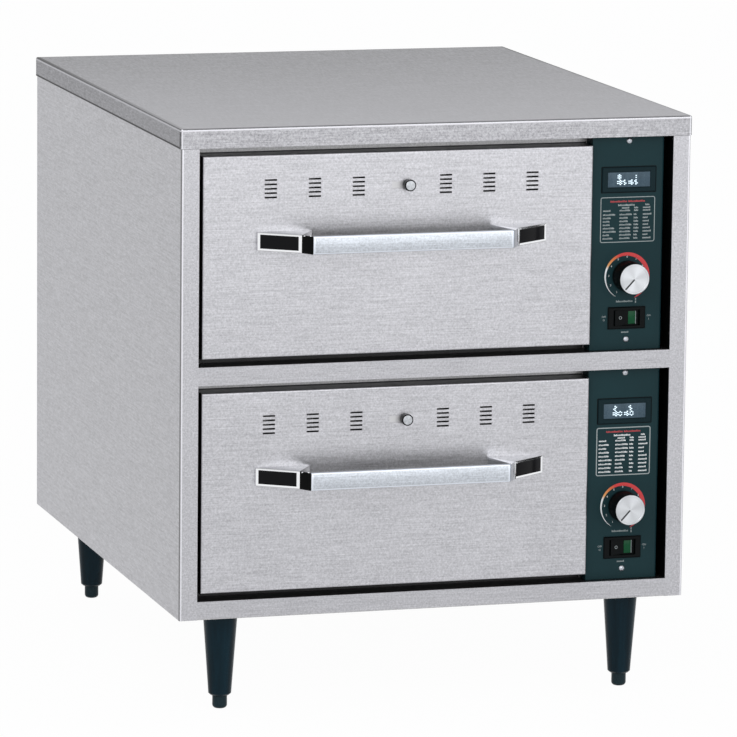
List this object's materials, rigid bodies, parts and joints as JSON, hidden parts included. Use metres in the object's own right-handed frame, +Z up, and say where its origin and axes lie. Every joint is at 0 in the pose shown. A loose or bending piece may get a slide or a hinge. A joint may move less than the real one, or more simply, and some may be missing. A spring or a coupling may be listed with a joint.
{
  "type": "countertop warming drawer",
  "caption": "Insulated steel cabinet on levelling legs with stacked heated drawers on slides, each with a handle, vents, a lift-out pan and a control panel.",
  "frame": {"origin": "centre of the bounding box at floor level, under the feet", "axes": "+X to the user's right seen from the front, the drawers open towards -Y, +Z up"},
  "size_m": [0.588, 0.747, 0.655],
  "materials": {
    "satin_steel": "satin",
    "liner_steel": "mill finish",
    "pan_steel": "bright satin",
    "slide_steel": "zinc plated",
    "chrome": "polished",
    "panel_face": "satin",
    "black_plastic": "matte",
    "display_plastic": "gloss",
    "leg_plastic": "satin",
    "foot_metal": "satin",
    "gasket_rubber": "matte",
    "element_steel": "heat darkened",
    "blanket": "mineral wool"
  },
  "bodies": {
    "cabinet": {"lid": "satin_steel", "left_side_panel": "satin_steel", "right_side_panel": "satin_steel", "back_panel": "satin_steel", "base_pan": "liner_steel", "middle_rail": "satin_steel", "bottom_rail": "satin_steel", "compartment_wall": "liner_steel", "insulation": "blanket", "legs": "leg_plastic", "screws": "slide_steel", "cord_gland": "black_plastic", "terminal_block": "black_plastic", "lower_liner_wrap": "liner_steel", "lower_liner_cap": "liner_steel", "lower_heating_element": "element_steel", "lower_slide_fixed": "slide_steel", "lower_control_panel": "panel_face", "lower_display": "display_plastic", "lower_controller": "black_plastic", "lower_switch_body": "black_plastic", "upper_liner_wrap": "liner_steel", "upper_liner_cap": "liner_steel", "upper_heating_element": "element_steel", "upper_slide_fixed": "slide_steel", "upper_control_panel": "panel_face", "upper_display": "display_plastic", "upper_controller": "black_plastic", "upper_switch_body": "black_plastic"},
    "lower_slide_middle": {"lower_slide_middle": "slide_steel"},
    "lower_vent": {"lower_vent_slider": "liner_steel", "lower_vent_knob": "chrome"},
    "lower_dial": {"lower_knob": "black_plastic"},
    "lower_rocker": {"lower_rocker": "black_plastic"},
    "lower_drawer": {"lower_slide_inner": "slide_steel", "lower_front_skin": "satin_steel", "lower_front_backing": "liner_steel", "lower_gasket": "gasket_rubber", "lower_handle_bar": "satin_steel", "lower_handle_ends": "chrome", "lower_drawer_frame": "liner_steel", "lower_pan": "pan_steel"},
    "upper_slide_middle": {"upper_slide_middle": "slide_steel"},
    "upper_vent": {"upper_vent_slider": "liner_steel", "upper_vent_knob": "chrome"},
    "upper_dial": {"upper_knob": "black_plastic"},
    "upper_rocker": {"upper_rocker": "black_plastic"},
    "upper_drawer": {"upper_slide_inner": "slide_steel", "upper_front_skin": "satin_steel", "upper_front_backing": "liner_steel", "upper_gasket": "gasket_rubber", "upper_handle_bar": "satin_steel", "upper_handle_ends": "chrome", "upper_drawer_frame": "liner_steel", "upper_pan": "pan_steel"},
    "foot_front_left": {"foot_front_left": "foot_metal"},
    "foot_front_right": {"foot_front_right": "foot_metal"},
    "foot_rear_left": {"foot_rear_left": "foot_metal"},
    "foot_rear_right": {"foot_rear_right": "foot_metal"}
  },
  "joints": [
    {"name": "lower_drawer_slide", "type": "slide", "parent": "cabinet", "child": "lower_drawer", "axis": [0, -1, 0], "range_m": [0, 0.54]},
    {"name": "lower_slide_middle_run", "type": "slide", "parent": "cabinet", "child": "lower_slide_middle", "axis": [0, -1, 0], "range_m": [0, 0.27]},
    {"name": "lower_vent_slide", "type": "slide", "parent": "lower_drawer", "child": "lower_vent", "axis": [-1, 0, 0], "range_m": [0, 0.014]},
    {"name": "lower_dial_turn", "type": "hinge", "parent": "cabinet", "child": "lower_dial", "pos_m": [0.22395, -0.319, 0.214], "axis": [0, 1, 0], "range_deg": [0, 270]},
    {"name": "lower_rocker_tip", "type": "hinge", "parent": "cabinet", "child": "lower_rocker", "pos_m": [0.22395, -0.316, 0.1667], "axis": [0, 0, -1], "range_deg": [0, 18]},
    {"name": "upper_drawer_slide", "type": "slide", "parent": "cabinet", "child": "upper_drawer", "axis": [0, -1, 0], "range_m": [0, 0.54]},
    {"name": "upper_slide_middle_run", "type": "slide", "parent": "cabinet", "child": "upper_slide_middle", "axis": [0, -1, 0], "range_m": [0, 0.27]},
    {"name": "upper_vent_slide", "type": "slide", "parent": "upper_drawer", "child": "upper_vent", "axis": [-1, 0, 0], "range_m": [0, 0.014]},
    {"name": "upper_dial_turn", "type": "hinge", "parent": "cabinet", "child": "upper_dial", "pos_m": [0.22395, -0.319, 0.4754], "axis": [0, 1, 0], "range_deg": [0, 270]},
    {"name": "upper_rocker_tip", "type": "hinge", "parent": "cabinet", "child": "upper_rocker", "pos_m": [0.22395, -0.316, 0.4281], "axis": [0, 0, -1], "range_deg": [0, 18]},
    {"name": "foot_front_left_screw", "type": "slide", "parent": "cabinet", "child": "foot_front_left", "axis": [0, 0, -1], "range_m": [0, 0.02]},
    {"name": "foot_front_right_screw", "type": "slide", "parent": "cabinet", "child": "foot_front_right", "axis": [0, 0, -1], "range_m": [0, 0.02]},
    {"name": "foot_rear_left_screw", "type": "slide", "parent": "cabinet", "child": "foot_rear_left", "axis": [0, 0, -1], "range_m": [0, 0.02]},
    {"name": "foot_rear_right_screw", "type": "slide", "parent": "cabinet", "child": "foot_rear_right", "axis": [0, 0, -1], "range_m": [0, 0.02]}
  ],
  "couplings": [
    {"joint": "lower_slide_middle_run", "follows": "lower_drawer_slide", "ratio": 0.5},
    {"joint": "upper_slide_middle_run", "follows": "upper_drawer_slide", "ratio": 0.5}
  ]
}
